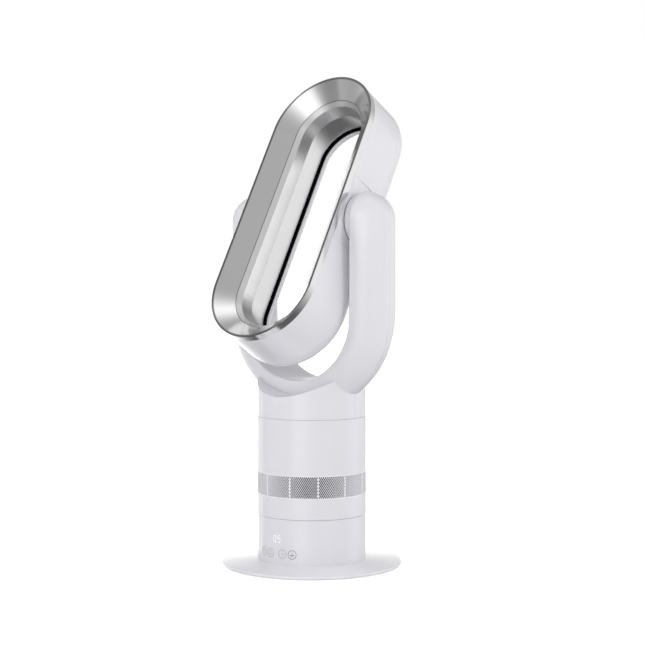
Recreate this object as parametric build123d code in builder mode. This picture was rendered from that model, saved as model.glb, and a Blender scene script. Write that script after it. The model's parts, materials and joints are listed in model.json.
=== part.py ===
"""Bladeless fan: round column with an intake grille and impeller, U-shaped yoke, tilting oval air loop.

Millimetres, +Z up. The origin lies on the floor under the column's axis, the controls face -Y and the
loop's pivot axis runs along X. The loop is drawn tilted back, as it rests.
"""
from build123d import *
from math import cos, degrees, pi, radians, sin, sqrt, tan
import os

os.makedirs("parts", exist_ok=True)

# ---------------------------------------------------------------- driving dimensions
# fits
seam = 0.25  # visible seam between two shells
rest_gap = 0.3  # gap under a part that slides on another
running_fit = 0.06  # radial clearance of a shaft in its bearing
play = 0.2  # clearance of a part that is only located

# base disc
disc_radius = 107.0
disc_edge_height = 4.2
disc_edge_round = 1.0
disc_top = 7.9
foot_standout = 0.8
foot_radius = 4.5
foot_depth = 1.2
foot_circle = disc_radius - 7.5
foot_count = 6
centre_foot_radius = 14.0
recess_radius = disc_radius - 15.0
recess_depth = 2.6
weight_thickness = 1.8
base_screw_circle = 48.0

# column
body_radius = 65.0
control_step = 0.45  # how much narrower the control housing is
collar_step = 0.3
control_radius = body_radius - control_step
collar_radius = body_radius - collar_step
shell_wall = 2.6
control_top = 60.8
grille_bottom = 85.1
grille_top = 112.7
body_top = 177.1

# controls, as angles round the column from the front
icon_angles = (-21.8, -9.6, 6.2, 17.6)
icon_radius = 5.1
icon_line = 0.5
icon_depth = 0.25
icon_z = 20.5
digit_height = 9.0
digit_width = 4.2
digit_stroke = 0.85
digit_z = 37.4
digit_spacing = 6.5
digit_centre = -0.9

# swivel
plate_thickness = 3.0
hub_radius = 16.9
hub_bore = 13.0
hub_length = 18.6
slide_width = 8.0
slide_height = 1.6
gear_module = 1.25
gear_teeth = 48
pinion_teeth = 12
gear_width = 5.6
gear_backlash = 0.25
motor_room = 3.9  # between the swivel motor and the housing
motor_height = 15.0

# fan
blade_count = 9
vane_count = 11
impeller_bottom = 118.0
impeller_height = 28.0
outlet_step = 12.9  # from the column's inside to the blades' outlet
eye_step = 11.5  # from the outlet in to the eye
blade_gap = 1.0
blade_thickness = 1.6
diffuser_height = 24.0
channel_width = 13.5  # of the air channel round the motor
shaft_radius = 4.0

# yoke
yoke_clearance = 9.5  # from the loop's side to the yoke's flat inner face
yoke_half_width = 34.0
yoke_wall = 2.6
bend_drop = 107.5  # from the pivot down to the bend's centre
scoop_step = 16.6
arm_edge_round = 2.0
parting_width = 0.4
parting_depth = 0.5
tower_radius = 4.6
screw_radius = 1.5
screw_head_radius = 2.9
screw_head_height = 2.2

# pivot
pivot_z = 407.7
boss_radius = 31.0
boss_spigot_radius = 28.0
trunnion_radius = 24.0
trunnion_wall = 2.4
bush_wall = 2.0
clip_width = 1.4

# air loop
loop_tilt = 30.0
loop_radius = 70.9
loop_straight = 214.6
pivot_depth = 44.6
bezel_depth = 10.3
bezel_wall = 1.6
lip_round = 1.2
lip_width = 2.4
flare_inset = 22.0
flare_depth = 18.0
shell_inset = 0.33
shell_flare = 1.82  # degrees that the shell opens towards the back
shell_round_start = 62.6
rear_round = 30.0
rear_turn = 45.0
rear_lip_round = 12.3
loop_wall = 2.4
cheek_half_length = 42.0
cheek_step = 0.6  # how far the flat cheeks lie inside the loop's outline
cheek_wall = 2.8
liner_wall = 2.0
liner_front = (22.45, 18.4)  # inset from the loop's outline, depth behind its front
liner_throat = (27.0, 24.0)
liner_narrow = (30.5, 39.5)
liner_back = (24.4, 71.7)
flange_depth = 21.0
spacer_width = 1.4
spacers_per_side = 6
spacers_per_end = 4
liner_screw_inset = 6.8

# ---------------------------------------------------------------- shared shapes
cheek_face = loop_radius - cheek_step
boss_face = cheek_face + 1.3
yoke_inner_radius = loop_radius + yoke_clearance
bend_z = pivot_z - bend_drop
scoop_radius = yoke_inner_radius + scoop_step
control_inner = control_radius - shell_wall
body_inner = body_radius - shell_wall
collar_inner = collar_radius - shell_wall
disc_bottom = foot_standout
housing_bottom = disc_top
body_bottom = control_top + seam + play
collar_bottom = body_top + seam
pinion_distance = gear_module * (gear_teeth + pinion_teeth) / 2 + 0.1
motor_radius = control_inner - pinion_distance - motor_room
bearing_screw_circle = control_inner - 4.0
slide_outer = bearing_screw_circle - screw_head_radius - 0.6
slide_inner = slide_outer - slide_width
turntable_screw_circle = body_inner - 6.4
outlet_radius = body_inner - outlet_step
eye_radius = outlet_radius - eye_step
diffuser_hub = outlet_radius - channel_width
slide_top = control_top + 0.3
plate_top = slide_top - slide_height
plate_bottom = plate_top - plate_thickness
turntable_bottom = slide_top + rest_gap
turntable_top = turntable_bottom + plate_thickness
gear_top = plate_bottom - 4.0
gear_bottom = gear_top - gear_width
pivot_axis = Axis((0, 0, pivot_z), (1, 0, 0))
loop_frame = Plane(
    origin=(0, 0, pivot_z),
    x_dir=(1, 0, 0),
    z_dir=(0, sin(radians(loop_tilt)), cos(radians(loop_tilt))),
)
loop_section = Plane(loop_frame * Plane.XY)
loop_front = Plane(loop_frame * Plane.XZ)


def at(inset, depth):
    """Point of the loop's section: inwards from its outline, behind its front."""
    return (loop_radius - inset, depth - pivot_depth)


def loop_path(inset=0.0):
    """Stadium through the middle of the loop, along which its section runs."""
    radius = loop_radius - inset
    with BuildLine(loop_front) as path:
        right = Line((radius, -loop_straight / 2), (radius, loop_straight / 2))
        JernArc(right @ 1, (0, 1), radius, 180)
        left = Line((-radius, loop_straight / 2), (-radius, -loop_straight / 2))
        JernArc(left @ 1, (0, -1), radius, 180)
    return path.line


def around(turn, radius=0.0):
    """Upright plane that faces outwards from the column, at an angle round it from the front."""
    angle = radians(turn)
    return Plane(
        origin=(radius * sin(angle), -radius * cos(angle), 0),
        x_dir=(cos(angle), sin(angle), 0),
        z_dir=(sin(angle), -cos(angle), 0),
    )


def section_at(along, turn):
    """Plane of the loop's section at a distance up its axis; turn 0 is the right side, 90 the top end."""
    angle = radians(turn)
    across, up = loop_frame.x_dir, loop_frame.z_dir
    return Plane(
        origin=loop_frame.origin + up * along,
        x_dir=across * cos(angle) + up * sin(angle),
        z_dir=up * cos(angle) - across * sin(angle),
    )


def gear_outline(teeth, backlash):
    """Spur gear outline with straight-flanked teeth, one tooth pointing along +X."""
    pitch_radius = gear_module * teeth / 2
    tip = pitch_radius + gear_module * 0.9
    root = pitch_radius - gear_module * 1.15
    half_tooth = (pi * gear_module / 2 - backlash) / 2
    with BuildSketch() as outline:
        Circle(root)
        with PolarLocations(0, teeth):
            with BuildLine():
                Polyline(
                    (root - 0.5, -half_tooth - 0.45 * gear_module),
                    (pitch_radius, -half_tooth),
                    (tip, -half_tooth + 0.36 * gear_module),
                    (tip, half_tooth - 0.36 * gear_module),
                    (pitch_radius, half_tooth),
                    (root - 0.5, half_tooth + 0.45 * gear_module),
                    close=True,
                )
            make_face()
    return outline.sketch


def screw(plane, length):
    """Pan-head screw: the head sits on the plane, the shank goes down from it."""
    with BuildPart(mode=Mode.PRIVATE) as fastener:
        Cylinder(screw_head_radius, screw_head_height, align=(Align.CENTER, Align.CENTER, Align.MIN))
        fillet(fastener.edges().group_by(Axis.Z)[-1], screw_head_height * 0.4)
        Cylinder(screw_radius, length, align=(Align.CENTER, Align.CENTER, Align.MAX))
    return plane.location * fastener.part


def arm_section(inset):
    """D-shaped section of the right arm: flat towards the loop, half round outside."""
    with BuildSketch() as section:
        with Locations((yoke_inner_radius, 0)):
            Circle(yoke_half_width - inset)
        split(bisect_by=Plane.YZ.offset(yoke_inner_radius + inset))
        corners = section.vertices().group_by(Axis.X)[0]
        fillet(corners, arm_edge_round)
    return section.sketch


def yoke_body(inset):
    """Collar and U-shaped arms in one solid, with all faces moved inwards by inset."""
    with BuildPart(mode=Mode.PRIVATE) as arm:
        with BuildSketch(Plane.XY.offset(bend_z)):
            add(arm_section(inset))
        extrude(amount=pivot_z - bend_z)
        # domed end, turned about the pivot axis
        with BuildSketch(Plane.XY.offset(pivot_z)):
            add(arm_section(inset))
            split(bisect_by=Plane.XZ, keep=Keep.BOTTOM)
        revolve(axis=pivot_axis, revolution_arc=180)
    with BuildPart() as body:
        # collar, scooped out along the U's own curve
        with BuildSketch(Plane.XY.offset(collar_bottom - inset)):
            Circle(collar_radius - inset)
        extrude(amount=bend_z - collar_bottom)
        with BuildSketch(Plane.XZ):
            with Locations((0, bend_z)):
                Circle(scoop_radius + inset)
        extrude(amount=collar_radius, both=True, mode=Mode.SUBTRACT)
        # bend under the loop
        with BuildSketch(Plane.XY.offset(bend_z)):
            add(arm_section(inset))
        revolve(axis=Axis((0, 0, bend_z), (0, 1, 0)), revolution_arc=180)
        add(arm.part)
        add(mirror(arm.part, about=Plane.YZ, mode=Mode.PRIVATE))
    return body.part


# ---------------------------------------------------------------- base disc, feet, ballast
with BuildPart() as base_disc:
    with BuildSketch(Plane.XZ):
        with BuildLine():
            Line((0, disc_bottom), (disc_radius - 0.6, disc_bottom))
            Line((disc_radius - 0.6, disc_bottom), (disc_radius, disc_bottom + 1.2))
            Line((disc_radius, disc_bottom + 1.2), (disc_radius, disc_edge_height - disc_edge_round))
            edge_arc = JernArc(
                (disc_radius, disc_edge_height - disc_edge_round), (0, 1), disc_edge_round, 84
            )
            rim = Line(edge_arc @ 1, (control_radius + 1.0, disc_top))
            Line(rim @ 1, (0, disc_top))
            Line((0, disc_top), (0, disc_bottom))
        make_face()
    revolve()
    with BuildSketch(Plane.XY.offset(disc_bottom)):
        Circle(recess_radius)
    extrude(amount=recess_depth, mode=Mode.SUBTRACT)
    with BuildSketch(Plane.XY.offset(disc_bottom)):
        with PolarLocations(foot_circle, foot_count, start_angle=30):
            Circle(foot_radius)
    extrude(amount=foot_depth, mode=Mode.SUBTRACT)
    with BuildSketch(Plane.XY.offset(disc_bottom)):
        with PolarLocations(base_screw_circle, 4, start_angle=45):
            Circle(screw_radius)
    extrude(amount=disc_top, mode=Mode.SUBTRACT)
base_disc.part.label = "base_disc"
export_step(base_disc.part, "parts/base_disc.step")

weight_top = disc_bottom + recess_depth
with BuildPart() as base_weight:
    with BuildSketch(Plane.XY.offset(weight_top)):
        Circle(recess_radius - play)
        with PolarLocations(base_screw_circle, 4, start_angle=45):
            Circle(screw_head_radius + play, mode=Mode.SUBTRACT)
    extrude(amount=-weight_thickness)
base_weight.part.label = "base_weight"
export_step(base_weight.part, "parts/base_weight.step")

with BuildPart() as rubber_feet:
    with BuildSketch(Plane.XY.offset(disc_bottom + foot_depth)):
        with PolarLocations(foot_circle, foot_count, start_angle=30):
            Circle(foot_radius)
    extrude(amount=-foot_depth - foot_standout)
    # one in the middle, under the ballast
    with BuildSketch():
        Circle(centre_foot_radius)
    extrude(amount=weight_top - weight_thickness)
    chamfer(rubber_feet.edges().group_by(Axis.Z)[0], foot_standout * 0.5)
rubber_feet.part.label = "rubber_feet"
export_step(rubber_feet.part, "parts/rubber_feet.step")

floor_thickness = 2.5
boss_height = 10.0
with BuildPart() as base_screws:
    for place in PolarLocations(base_screw_circle, 4, start_angle=45):
        add(screw(Plane(place.position, z_dir=(0, 0, -1)).offset(-weight_top), weight_top + boss_height))
base_screws.part.label = "base_screws"
export_step(base_screws.part, "parts/base_screws.step")


# ---------------------------------------------------------------- control housing
digit_left = digit_centre - digit_spacing / 2
digit_right = digit_centre + digit_spacing / 2
half_w = digit_width / 2 - digit_stroke / 2
half_h = digit_height / 2 - digit_stroke / 2
bowl = half_h * 0.6  # the five's bowl, half its height
with BuildSketch(mode=Mode.PRIVATE) as digit_faces:
    # zero
    with Locations((digit_left, digit_z)):
        SlotOverall(digit_height, digit_width, rotation=90)
        SlotOverall(
            digit_height - 2 * digit_stroke, digit_width - 2 * digit_stroke, rotation=90, mode=Mode.SUBTRACT
        )
    # five
    with BuildLine():
        top_stroke = Polyline(
            (digit_right + half_w, digit_z + half_h),
            (digit_right - half_w + 0.3, digit_z + half_h),
            (digit_right - half_w, digit_z - half_h + 1.9 * bowl),
            (digit_right - half_w * 0.2, digit_z - half_h + 2 * bowl),
        )
        five_bowl = ThreePointArc(
            top_stroke @ 1, (digit_right + half_w, digit_z - half_h + bowl), (digit_right, digit_z - half_h)
        )
        Line(five_bowl @ 1, (digit_right - half_w, digit_z - half_h + 0.5))
    trace(line_width=digit_stroke)
with BuildPart(mode=Mode.PRIVATE) as digit_bodies:
    with BuildSketch(Plane.XZ):
        add(digit_faces.sketch)
    extrude(amount=control_radius)
    with BuildSketch():
        Circle(control_radius)
        Circle(control_inner - 0.3, mode=Mode.SUBTRACT)
    extrude(amount=control_top, mode=Mode.INTERSECT)
icon_sag = icon_radius**2 / control_radius / 2
bridge_width = 1.2
bridge_depth = 1.3  # the bridge that holds the zero's middle stays this far behind the face
with BuildPart() as numeral_bodies:
    add(digit_bodies.part)
    with BuildSketch(Plane.XZ):
        with Locations((digit_left, digit_z)):
            Rectangle(bridge_width, digit_height + 1)
    extrude(amount=control_radius - bridge_depth, mode=Mode.SUBTRACT)
numerals = numeral_bodies.part
bearing_boss_height = 12.0
power_board_width = 2 * (control_inner - 27.5)
power_board_depth = power_board_width - 18.0
guide_depth = 1.6
guide_front = sqrt((control_inner - 0.3) ** 2 - (digit_width + digit_spacing) ** 2 / 4) - 0.1
board_face = guide_front - guide_depth - 5.0
gland_z = housing_bottom + 12.0
gland_radius = 6.0

with BuildPart() as control_housing:
    with BuildSketch(Plane.XY.offset(housing_bottom)):
        Circle(control_radius)
    extrude(amount=control_top - housing_bottom)
    with BuildSketch(Plane.XY.offset(housing_bottom + floor_thickness)):
        Circle(control_inner)
    extrude(amount=control_top, mode=Mode.SUBTRACT)
    # screw bosses and board posts on the floor
    with BuildSketch(Plane.XY.offset(housing_bottom + floor_thickness)):
        with PolarLocations(base_screw_circle, 4, start_angle=45):
            Circle(tower_radius)
    extrude(amount=boss_height)
    with BuildSketch(Plane.XY.offset(housing_bottom + floor_thickness)):
        with Locations((0, 4)):
            with GridLocations(power_board_width - 10, power_board_depth - 10, 2, 2):
                Circle(3.0)
    extrude(amount=4.0)
    with BuildSketch(Plane.XY.offset(housing_bottom)):
        with PolarLocations(base_screw_circle, 4, start_angle=45):
            Circle(screw_radius)
    extrude(amount=floor_thickness + boss_height, mode=Mode.SUBTRACT)
    # bosses under the bearing plate
    with BuildSketch(Plane.XY.offset(plate_bottom - bearing_boss_height)):
        with PolarLocations(bearing_screw_circle, 4, start_angle=45):
            Circle(tower_radius)
    extrude(amount=bearing_boss_height)
    with BuildSketch(Plane.XY.offset(plate_bottom - bearing_boss_height)):
        with PolarLocations(bearing_screw_circle, 4, start_angle=45):
            Circle(screw_radius)
    extrude(amount=bearing_boss_height, mode=Mode.SUBTRACT)
    # cord gland hole at the back
    with BuildSketch(Plane.XZ):
        with Locations((0, gland_z)):
            Circle(gland_radius)
    extrude(amount=-control_radius - 5, mode=Mode.SUBTRACT)
    # rings of the touch icons, engraved
    for angle in icon_angles:
        with BuildSketch(around(angle, control_radius - icon_depth - icon_sag)):
            with Locations((0, icon_z)):
                Circle(icon_radius)
                Circle(icon_radius - icon_line, mode=Mode.SUBTRACT)
        extrude(amount=5, mode=Mode.SUBTRACT)
    add(numerals, mode=Mode.SUBTRACT)
control_housing.part.label = "control_housing"
export_step(control_housing.part, "parts/control_housing.step")

guide_width = digit_width + digit_spacing + 3
guide_height = digit_height + 3
with BuildPart() as display_light_guide:
    add(numerals)
    with BuildSketch(Plane.XZ.offset(guide_front)):
        with Locations((digit_centre, digit_z)):
            Rectangle(guide_width, guide_height)
    extrude(amount=-guide_depth)
    with BuildSketch(Plane.XZ.offset(guide_front)):
        add(digit_faces.sketch)
    extrude(amount=control_inner - rest_gap - guide_front)
display_light_guide.part.label = "display_light_guide"
export_step(display_light_guide.part, "parts/display_light_guide.step")

with BuildPart() as display_module:
    with BuildSketch(Plane.XZ.offset(guide_front - guide_depth)):
        with Locations((digit_centre, digit_z)):
            Rectangle(guide_width, guide_height)
    extrude(amount=-(guide_front - guide_depth - board_face))
display_module.part.label = "display_module"
export_step(display_module.part, "parts/display_module.step")

board_thickness = 1.6
board_width = 2 * sqrt(control_inner**2 - board_face**2) - 2.0
board_bottom = housing_bottom + floor_thickness
with BuildPart() as control_board:
    with BuildSketch(Plane.XZ.offset(board_face)):
        with Locations((0, board_bottom)):
            Rectangle(board_width, 36.0, align=(Align.CENTER, Align.MIN))
    extrude(amount=-board_thickness)
    with BuildSketch(Plane.XZ.offset(board_face - board_thickness)):
        with Locations((-14, board_bottom + 22), (10, board_bottom + 20)):
            Rectangle(9, 9)
    extrude(amount=-1.5)
control_board.part.label = "control_board"
export_step(control_board.part, "parts/control_board.step")

electrode_radius = 3.0
with BuildPart() as touch_electrodes:
    for angle in icon_angles:
        x = control_inner * sin(radians(angle))
        reach = sqrt(control_inner**2 - (abs(x) + electrode_radius) ** 2) - 0.1
        with BuildSketch(Plane.XZ.offset(board_face)):
            with Locations((x, icon_z)):
                Circle(electrode_radius)
        extrude(amount=reach - board_face)
touch_electrodes.part.label = "touch_electrodes"
export_step(touch_electrodes.part, "parts/touch_electrodes.step")

with BuildPart() as power_board:
    with BuildSketch(Plane.XY.offset(board_bottom + 4.0)):
        with Locations((0, 4)):
            Rectangle(power_board_width, power_board_depth)
    extrude(amount=board_thickness)
    with BuildSketch(Plane.XY.offset(board_bottom + 4.0 + board_thickness)):
        with Locations((-20, 8)):
            Rectangle(20, 18)
    extrude(amount=14)
    with BuildSketch(Plane.XY.offset(board_bottom + 4.0 + board_thickness)):
        with Locations((-22, -12), (10, 18), (22, 18)):
            Circle(4.5)
    extrude(amount=8)
power_board.part.label = "power_board"
export_step(power_board.part, "parts/power_board.step")

with BuildPart() as cord_gland:
    with BuildSketch(Plane.XZ.offset(-control_inner + 3.0)):
        with Locations((0, gland_z)):
            Circle(gland_radius)
    extrude(amount=-shell_wall - 3.0 - 1.5)
    with BuildSketch(Plane.XZ.offset(-control_inner + 3.0)):
        with Locations((0, gland_z)):
            Circle(gland_radius + 2.0)
    extrude(amount=-2.4)
    with BuildSketch(Plane.XZ):
        with Locations((0, gland_z)):
            Circle(3.2)
    extrude(amount=-control_radius - 5, mode=Mode.SUBTRACT)
cord_gland.part.label = "cord_gland"
export_step(cord_gland.part, "parts/cord_gland.step")

# ---------------------------------------------------------------- swivel bearing and drive
post_offset = motor_radius + 5.0
post_radius = 3.6
motor_flange = 1.5
motor_top = gear_bottom - 4.0
with BuildPart() as bearing_plate:
    with BuildSketch(Plane.XY.offset(plate_bottom)):
        Circle(control_inner - play)
        Circle(hub_radius + running_fit, mode=Mode.SUBTRACT)
        with PolarLocations(bearing_screw_circle, 4, start_angle=45):
            Circle(screw_radius, mode=Mode.SUBTRACT)
    extrude(amount=plate_thickness)
    # bearing collar under the plate
    with BuildSketch(Plane.XY.offset(plate_bottom)):
        Circle(hub_radius + running_fit + 3.0)
        Circle(hub_radius + running_fit, mode=Mode.SUBTRACT)
    extrude(amount=-(plate_bottom - gear_top - rest_gap))
    # posts that carry the motor
    with BuildSketch(Plane.XY.offset(plate_bottom)):
        with Locations((pinion_distance, post_offset), (pinion_distance, -post_offset)):
            Circle(post_radius)
    extrude(amount=-(plate_bottom - motor_top))
bearing_plate.part.label = "bearing_plate"
export_step(bearing_plate.part, "parts/bearing_plate.step")

with BuildPart() as bearing_screws:
    for place in PolarLocations(bearing_screw_circle, 4, start_angle=45):
        add(screw(Plane(place.position).offset(plate_top), bearing_boss_height))
    # heads stay below the turntable
    with BuildSketch(Plane.XY.offset(slide_top - play)):
        Circle(body_radius)
    extrude(amount=screw_head_height, mode=Mode.SUBTRACT)
bearing_screws.part.label = "bearing_screws"
export_step(bearing_screws.part, "parts/bearing_screws.step")

with BuildPart() as slide_ring:
    with BuildSketch(Plane.XY.offset(plate_top)):
        Circle(slide_outer)
        Circle(slide_inner, mode=Mode.SUBTRACT)
    extrude(amount=slide_height)
slide_ring.part.label = "slide_ring"
export_step(slide_ring.part, "parts/slide_ring.step")

pinion_shaft = 3.0
with BuildPart() as oscillation_motor:
    with BuildSketch(Plane.XY.offset(motor_top)):
        with Locations((pinion_distance, 0)):
            SlotCenterToCenter(2 * post_offset, 2 * post_radius, rotation=90)
            Circle(motor_radius)
    extrude(amount=-motor_flange)
    with BuildSketch(Plane.XY.offset(motor_top - motor_flange)):
        with Locations((pinion_distance, 0)):
            Circle(motor_radius)
    extrude(amount=-(motor_height - motor_flange))
    fillet(oscillation_motor.edges().group_by(Axis.Z)[0], 1.0)
    with BuildSketch(Plane.XY.offset(motor_top)):
        with Locations((pinion_distance, 0)):
            Circle(6.0)
    extrude(amount=3.0)
    with BuildSketch(Plane.XY.offset(motor_top + 3.0)):
        with Locations((pinion_distance, 0)):
            Circle(pinion_shaft + running_fit)
    extrude(amount=-10.0, mode=Mode.SUBTRACT)
oscillation_motor.part.label = "oscillation_motor"
export_step(oscillation_motor.part, "parts/oscillation_motor.step")

with BuildPart() as oscillation_pinion:
    with BuildSketch(Plane.XY.offset(gear_bottom - 0.5)):
        with Locations(Location((pinion_distance, 0), 180 + 180 / pinion_teeth)):
            add(gear_outline(pinion_teeth, gear_backlash))
    extrude(amount=gear_width + 1.0)
    with BuildSketch(Plane.XY.offset(gear_bottom - 0.5)):
        with Locations((pinion_distance, 0)):
            Circle(pinion_shaft)
    extrude(amount=-10.0)
oscillation_pinion.part.label = "oscillation_pinion"
export_step(oscillation_pinion.part, "parts/oscillation_pinion.step")

head_pocket = 1.7
with BuildPart() as turntable:
    with BuildSketch(Plane.XY.offset(turntable_bottom)):
        Circle(body_inner - play)
        Circle(hub_bore, mode=Mode.SUBTRACT)
    extrude(amount=plate_thickness)
    with BuildSketch(Plane.XY.offset(turntable_bottom)):
        Circle(hub_radius)
        Circle(hub_bore, mode=Mode.SUBTRACT)
    extrude(amount=-hub_length)
    # groove for the retaining ring
    with BuildSketch(Plane.XY.offset(gear_bottom - play)):
        Circle(hub_radius)
        Circle(hub_radius - 1.0, mode=Mode.SUBTRACT)
    extrude(amount=-clip_width, mode=Mode.SUBTRACT)
    # posts for the driver board
    with BuildSketch(Plane.XY.offset(turntable_top)):
        with PolarLocations(40.0, 3, start_angle=90):
            Circle(3.0)
    extrude(amount=5.0)
    with BuildSketch(Plane.XY.offset(turntable_bottom)):
        with PolarLocations(turntable_screw_circle, 4):
            Circle(screw_radius)
    extrude(amount=plate_thickness, mode=Mode.SUBTRACT)
    with BuildSketch(Plane.XY.offset(turntable_bottom)):
        with PolarLocations(turntable_screw_circle, 4):
            Circle(screw_head_radius + play)
    extrude(amount=head_pocket, mode=Mode.SUBTRACT)
turntable.part.label = "turntable"
export_step(turntable.part, "parts/turntable.step")

with BuildPart() as oscillation_gear:
    with BuildSketch(Plane.XY.offset(gear_bottom)):
        add(gear_outline(gear_teeth, gear_backlash))
        Circle(hub_radius, mode=Mode.SUBTRACT)
    extrude(amount=gear_width)
oscillation_gear.part.label = "oscillation_gear"
export_step(oscillation_gear.part, "parts/oscillation_gear.step")

with BuildPart() as hub_clip:
    with BuildSketch(Plane.XY.offset(gear_bottom - play)):
        Circle(hub_radius + 2.5)
        Circle(hub_radius - 1.0, mode=Mode.SUBTRACT)
        with Locations((0, -hub_radius)):
            Rectangle(5, 10, mode=Mode.SUBTRACT)
    extrude(amount=-clip_width)
hub_clip.part.label = "hub_clip"
export_step(hub_clip.part, "parts/hub_clip.step")

# ---------------------------------------------------------------- column shells and grille
turntable_boss_height = 12.0
spigot = 1.6  # how far a shell's spigot reaches into its neighbour
with BuildPart() as lower_body_shell:
    with BuildSketch(Plane.XY.offset(body_bottom)):
        Circle(body_radius)
        Circle(body_inner, mode=Mode.SUBTRACT)
    extrude(amount=grille_bottom - body_bottom)
    with BuildSketch(Plane.XY.offset(grille_bottom - 3.0)):
        Circle(body_inner)
        Circle(body_inner - shell_wall, mode=Mode.SUBTRACT)
    extrude(amount=3.0 + spigot)
    with BuildSketch(Plane.XY.offset(turntable_top)):
        with PolarLocations(turntable_screw_circle, 4):
            Circle(tower_radius)
            with Locations((tower_radius, 0)):
                Rectangle(2 * tower_radius, 2 * tower_radius)
        Circle(body_inner + 0.5, mode=Mode.INTERSECT)
        with PolarLocations(turntable_screw_circle, 4):
            Circle(screw_radius, mode=Mode.SUBTRACT)
    extrude(amount=turntable_boss_height)
lower_body_shell.part.label = "lower_body_shell"
export_step(lower_body_shell.part, "parts/lower_body_shell.step")

with BuildPart() as turntable_screws:
    for place in PolarLocations(turntable_screw_circle, 4):
        seat = Plane(place.position, z_dir=(0, 0, -1)).offset(-turntable_bottom - head_pocket)
        add(screw(seat, turntable_boss_height))
    # heads stay inside their pockets
    with BuildSketch(Plane.XY.offset(turntable_bottom + 0.1)):
        Circle(body_radius)
    extrude(amount=-screw_head_height, mode=Mode.SUBTRACT)
turntable_screws.part.label = "turntable_screws"
export_step(turntable_screws.part, "parts/turntable_screws.step")

grille_panels = 12
grille_wall = 1.6
rib_width = 3.4
hole_columns = 4
hole_rows = 5
panel_angle = 360 / grille_panels
hole_angle = (panel_angle - degrees(rib_width / body_radius)) / (hole_columns + 0.5)
hole_size = radians(hole_angle) * body_radius * 0.62
grille_height = grille_top - grille_bottom
row_pitch = (grille_height - 2 * spigot) / hole_rows
grille_radius = body_radius - 0.1
with BuildPart() as intake_grille:
    with BuildSketch(Plane.XZ):
        with Locations((grille_radius - grille_wall, grille_bottom)):
            Rectangle(grille_wall, grille_height, align=Align.MIN)
        for z in (grille_bottom, grille_top - spigot):
            with Locations((body_inner, z)):
                Rectangle(grille_radius - body_inner - 0.5, spigot, align=Align.MIN)
    revolve()
    # staggered diamond holes, in panels between ribs
    with BuildPart(mode=Mode.PRIVATE) as hole_column:
        for column in range(2 * hole_columns):
            turn = (column / 2 - hole_columns / 2 + 0.25) * hole_angle
            rows = range(column % 2, hole_rows, 2)
            with BuildSketch(around(turn, body_inner - 0.5)):
                with Locations([(0, grille_bottom + spigot + (row + 0.5) * row_pitch) for row in rows]):
                    Rectangle(hole_size, hole_size, rotation=45)
            extrude(amount=shell_wall + 2)
    with PolarLocations(0, grille_panels):
        add(hole_column.part, mode=Mode.SUBTRACT)
intake_grille.part.label = "intake_grille"
export_step(intake_grille.part, "parts/intake_grille.step")

with BuildPart() as intake_filter:
    with BuildSketch(Plane.XY.offset(grille_bottom + spigot)):
        Circle(body_inner - 0.2)
        Circle(body_inner - 2.0, mode=Mode.SUBTRACT)
    extrude(amount=grille_height - 2 * spigot)
intake_filter.part.label = "intake_filter"
export_step(intake_filter.part, "parts/intake_filter.step")

with BuildPart() as upper_body_shell:
    with BuildSketch(Plane.XY.offset(grille_top)):
        Circle(body_radius)
        Circle(body_inner, mode=Mode.SUBTRACT)
    extrude(amount=body_top - grille_top)
    with BuildSketch(Plane.XY.offset(grille_top - spigot)):
        Circle(body_inner)
        Circle(body_inner - shell_wall, mode=Mode.SUBTRACT)
    extrude(amount=3.0 + spigot)
upper_body_shell.part.label = "upper_body_shell"
export_step(upper_body_shell.part, "parts/upper_body_shell.step")

# ---------------------------------------------------------------- fan inside the column
impeller_top = impeller_bottom + impeller_height
shroud_wall = 2.0
shroud_top = impeller_top + 2.0
shroud_bottom = grille_top + 3.0
throat = eye_radius + blade_gap + (outlet_radius - eye_radius) * (shroud_bottom + 5.0 - impeller_bottom) / (
    impeller_height
)
outlet = outlet_radius + blade_gap
hub_nose = 9.0

with BuildPart() as driver_board:
    with BuildSketch(Plane.XY.offset(turntable_top + 5.0)):
        Circle(body_inner - 15.4)
        Circle(hub_bore + 2.0, mode=Mode.SUBTRACT)
    extrude(amount=board_thickness)
    with BuildSketch(Plane.XY.offset(turntable_top + 5.0 + board_thickness)):
        with PolarLocations(32.0, 5, start_angle=20):
            Rectangle(9, 6)
    extrude(amount=2.0)
driver_board.part.label = "driver_board"
export_step(driver_board.part, "parts/driver_board.step")

with BuildPart() as intake_shroud:
    with BuildSketch(Plane.XZ):
        with BuildLine():
            Polyline(
                (body_inner - play, shroud_bottom),
                (throat + 8.0, shroud_bottom),
                (throat, shroud_bottom + 5.0),
                (outlet, impeller_top),
                (outlet, shroud_top),
                (outlet + shroud_wall, shroud_top),
                (outlet + shroud_wall, impeller_top - 0.6),
                (throat + shroud_wall + 0.3, shroud_bottom + 5.6),
                (throat + 8.8, shroud_bottom + shroud_wall),
                (body_inner - play, shroud_bottom + shroud_wall),
                close=True,
            )
        make_face()
    revolve()
intake_shroud.part.label = "intake_shroud"
export_step(intake_shroud.part, "parts/intake_shroud.step")

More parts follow.
